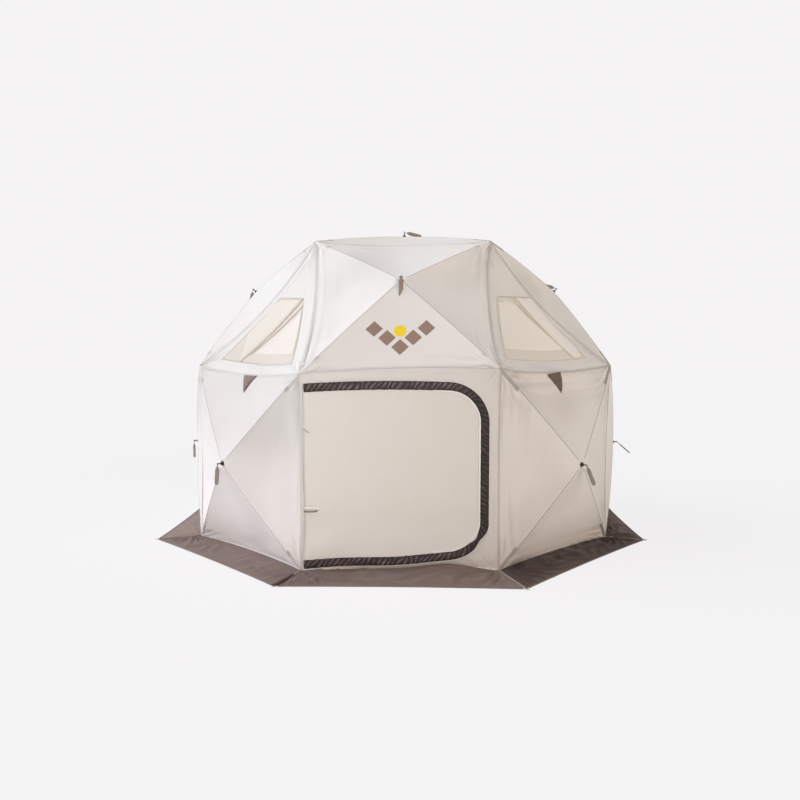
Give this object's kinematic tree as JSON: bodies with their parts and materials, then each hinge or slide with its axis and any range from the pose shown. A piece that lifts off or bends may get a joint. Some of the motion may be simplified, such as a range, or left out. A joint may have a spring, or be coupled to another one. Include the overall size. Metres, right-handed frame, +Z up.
{
  "type": "ice fishing tent",
  "caption": "Octagonal pop-up hub tent for ice fishing: insulated cloth pushed out by poles and hubs, with a zipped front door, windows and a ground skirt.",
  "frame": {"origin": "on the ground under the middle of the tent", "axes": "+Z up; the door faces -Y and +X is to the right of someone who faces the door from outside"},
  "size_m": [3.5978, 3.5978, 2.3361],
  "materials": {
    "shell_cloth": "matt woven polyester with a soft sheen, wrinkled",
    "door_cloth": "matt woven polyester",
    "skirt_cloth": "matt coated polyester",
    "band_cloth": "gathered matt cloth",
    "flap_cloth": "doubled matt cloth",
    "webbing": "woven webbing, folded and sewn",
    "window_film": "milky flexible film, satin",
    "hub_plastic": "moulded nylon, satin",
    "fibreglass": "smooth pultruded rod"
  },
  "bodies": {
    "shell": {"door_wall": "shell_cloth", "wall_front_right": "shell_cloth", "wall_right": "shell_cloth", "wall_back_right": "shell_cloth", "wall_back": "shell_cloth", "wall_back_left": "shell_cloth", "wall_left": "shell_cloth", "wall_front_left": "shell_cloth", "upper_front": "shell_cloth", "upper_right": "shell_cloth", "upper_back": "shell_cloth", "upper_left": "shell_cloth", "roof": "shell_cloth", "gable_front_right": "shell_cloth", "gable_back_right": "shell_cloth", "gable_back_left": "shell_cloth", "gable_front_left": "shell_cloth", "window_front_right": "window_film", "window_front_left": "window_film", "skirt": "skirt_cloth", "poles_front_right": "fibreglass", "poles_right": "fibreglass", "poles_back_right": "fibreglass", "poles_back": "fibreglass", "poles_back_left": "fibreglass", "poles_left": "fibreglass", "poles_front_left": "fibreglass", "poles_upper_front": "fibreglass", "poles_upper_right": "fibreglass", "poles_upper_back": "fibreglass", "poles_upper_left": "fibreglass", "poles_roof": "fibreglass"},
    "hub_front_right": {"hub_front_right": "hub_plastic"},
    "strap_front_right": {"pull_strap_front_right": "webbing"},
    "hub_right": {"hub_right": "hub_plastic"},
    "strap_right": {"pull_strap_right": "webbing"},
    "hub_back_right": {"hub_back_right": "hub_plastic"},
    "strap_back_right": {"pull_strap_back_right": "webbing"},
    "hub_back": {"hub_back": "hub_plastic"},
    "strap_back": {"pull_strap_back": "webbing"},
    "hub_back_left": {"hub_back_left": "hub_plastic"},
    "strap_back_left": {"pull_strap_back_left": "webbing"},
    "hub_left": {"hub_left": "hub_plastic"},
    "strap_left": {"pull_strap_left": "webbing"},
    "hub_front_left": {"hub_front_left": "hub_plastic"},
    "strap_front_left": {"pull_strap_front_left": "webbing"},
    "hub_upper_front": {"hub_upper_front": "hub_plastic"},
    "strap_upper_front": {"pull_strap_upper_front": "webbing"},
    "hub_upper_right": {"hub_upper_right": "hub_plastic"},
    "strap_upper_right": {"pull_strap_upper_right": "webbing"},
    "hub_upper_back": {"hub_upper_back": "hub_plastic"},
    "strap_upper_back": {"pull_strap_upper_back": "webbing"},
    "hub_upper_left": {"hub_upper_left": "hub_plastic"},
    "strap_upper_left": {"pull_strap_upper_left": "webbing"},
    "hub_roof": {"hub_roof": "hub_plastic"},
    "strap_roof": {"pull_strap_roof": "webbing"},
    "door": {"door_panel": "door_cloth", "storm_band": "band_cloth"},
    "flap_front_right": {"eave_flap_front_right": "flap_cloth"},
    "flap_front_left": {"eave_flap_front_left": "flap_cloth"}
  },
  "joints": [
    {"name": "pop_front_right", "type": "slide", "parent": "shell", "child": "hub_front_right", "axis": [-0.7071, 0.7071, 0], "range_m": [0, 0.38], "deforming": ["wall_front_right", "poles_front_right"]},
    {"name": "strap_front_right_swing", "type": "hinge", "parent": "hub_front_right", "child": "strap_front_right", "pos_m": [1.22958, -1.22958, 0.635], "axis": [-0.7071, -0.7071, 0], "range_deg": [-30, 210]},
    {"name": "pop_right", "type": "slide", "parent": "shell", "child": "hub_right", "axis": [-1, 0, 0], "range_m": [0, 0.38], "deforming": ["wall_right", "poles_right"]},
    {"name": "strap_right_swing", "type": "hinge", "parent": "hub_right", "child": "strap_right", "pos_m": [1.73888, 0, 0.635], "axis": [0, -1, 0], "range_deg": [-30, 210]},
    {"name": "pop_back_right", "type": "slide", "parent": "shell", "child": "hub_back_right", "axis": [-0.7071, -0.7071, 0], "range_m": [0, 0.38], "deforming": ["wall_back_right", "poles_back_right"]},
    {"name": "strap_back_right_swing", "type": "hinge", "parent": "hub_back_right", "child": "strap_back_right", "pos_m": [1.22958, 1.22958, 0.635], "axis": [0.7071, -0.7071, 0], "range_deg": [-30, 210]},
    {"name": "pop_back", "type": "slide", "parent": "shell", "child": "hub_back", "axis": [0, -1, 0], "range_m": [0, 0.38], "deforming": ["wall_back", "poles_back"]},
    {"name": "strap_back_swing", "type": "hinge", "parent": "hub_back", "child": "strap_back", "pos_m": [0, 1.73888, 0.635], "axis": [1, 0, 0], "range_deg": [-30, 210]},
    {"name": "pop_back_left", "type": "slide", "parent": "shell", "child": "hub_back_left", "axis": [0.7071, -0.7071, 0], "range_m": [0, 0.38], "deforming": ["wall_back_left", "poles_back_left"]},
    {"name": "strap_back_left_swing", "type": "hinge", "parent": "hub_back_left", "child": "strap_back_left", "pos_m": [-1.22958, 1.22958, 0.635], "axis": [0.7071, 0.7071, 0], "range_deg": [-30, 210]},
    {"name": "pop_left", "type": "slide", "parent": "shell", "child": "hub_left", "axis": [1, 0, 0], "range_m": [0, 0.38], "deforming": ["wall_left", "poles_left"]},
    {"name": "strap_left_swing", "type": "hinge", "parent": "hub_left", "child": "strap_left", "pos_m": [-1.73888, 0, 0.635], "axis": [0, 1, 0], "range_deg": [-30, 210]},
    {"name": "pop_front_left", "type": "slide", "parent": "shell", "child": "hub_front_left", "axis": [0.7071, 0.7071, 0], "range_m": [0, 0.38], "deforming": ["wall_front_left", "poles_front_left"]},
    {"name": "strap_front_left_swing", "type": "hinge", "parent": "hub_front_left", "child": "strap_front_left", "pos_m": [-1.22958, -1.22958, 0.635], "axis": [-0.7071, 0.7071, 0], "range_deg": [-30, 210]},
    {"name": "pop_upper_front", "type": "slide", "parent": "shell", "child": "hub_upper_front", "axis": [0, 0.7213, -0.6926], "range_m": [0, 0.36], "deforming": ["upper_front", "poles_upper_front"]},
    {"name": "strap_upper_front_swing", "type": "hinge", "parent": "hub_upper_front", "child": "strap_upper_front", "pos_m": [0, -1.23062, 1.87738], "axis": [-1, 0, 0], "range_deg": [0, 240]},
    {"name": "pop_upper_right", "type": "slide", "parent": "shell", "child": "hub_upper_right", "axis": [-0.7213, 0, -0.6926], "range_m": [0, 0.36], "deforming": ["upper_right", "poles_upper_right"]},
    {"name": "strap_upper_right_swing", "type": "hinge", "parent": "hub_upper_right", "child": "strap_upper_right", "pos_m": [1.23062, 0, 1.87738], "axis": [0, 1, 0], "range_deg": [0, 240]},
    {"name": "pop_upper_back", "type": "slide", "parent": "shell", "child": "hub_upper_back", "axis": [0, -0.7213, -0.6926], "range_m": [0, 0.36], "deforming": ["upper_back", "poles_upper_back"]},
    {"name": "strap_upper_back_swing", "type": "hinge", "parent": "hub_upper_back", "child": "strap_upper_back", "pos_m": [0, 1.23062, 1.87738], "axis": [1, 0, 0], "range_deg": [0, 240]},
    {"name": "pop_upper_left", "type": "slide", "parent": "shell", "child": "hub_upper_left", "axis": [0.7213, 0, -0.6926], "range_m": [0, 0.36], "deforming": ["upper_left", "poles_upper_left"]},
    {"name": "strap_upper_left_swing", "type": "hinge", "parent": "hub_upper_left", "child": "strap_upper_left", "pos_m": [-1.23062, 0, 1.87738], "axis": [0, 1, 0], "range_deg": [0, 240]},
    {"name": "pop_roof", "type": "slide", "parent": "shell", "child": "hub_roof", "axis": [0, 0, -1], "range_m": [0, 0.22], "deforming": ["roof", "poles_roof"]},
    {"name": "strap_roof_swing", "type": "hinge", "parent": "hub_roof", "child": "strap_roof", "pos_m": [0, 0, 2.33], "axis": [0, -1, 0], "range_deg": [0, 232]},
    {"name": "door_swing", "type": "hinge", "parent": "shell", "child": "door", "pos_m": [-0.603, -1.50888, 0], "axis": [0, 0, -1], "range_deg": [0, 135]},
    {"name": "flap_front_right_lift", "type": "hinge", "parent": "shell", "child": "flap_front_right", "pos_m": [1.05407, -1.05407, 1.22151], "axis": [-0.7071, -0.7071, 0], "range_deg": [0, 110]},
    {"name": "flap_front_left_lift", "type": "hinge", "parent": "shell", "child": "flap_front_left", "pos_m": [-1.05407, -1.05407, 1.22151], "axis": [-0.7071, 0.7071, 0], "range_deg": [0, 110]}
  ]
}
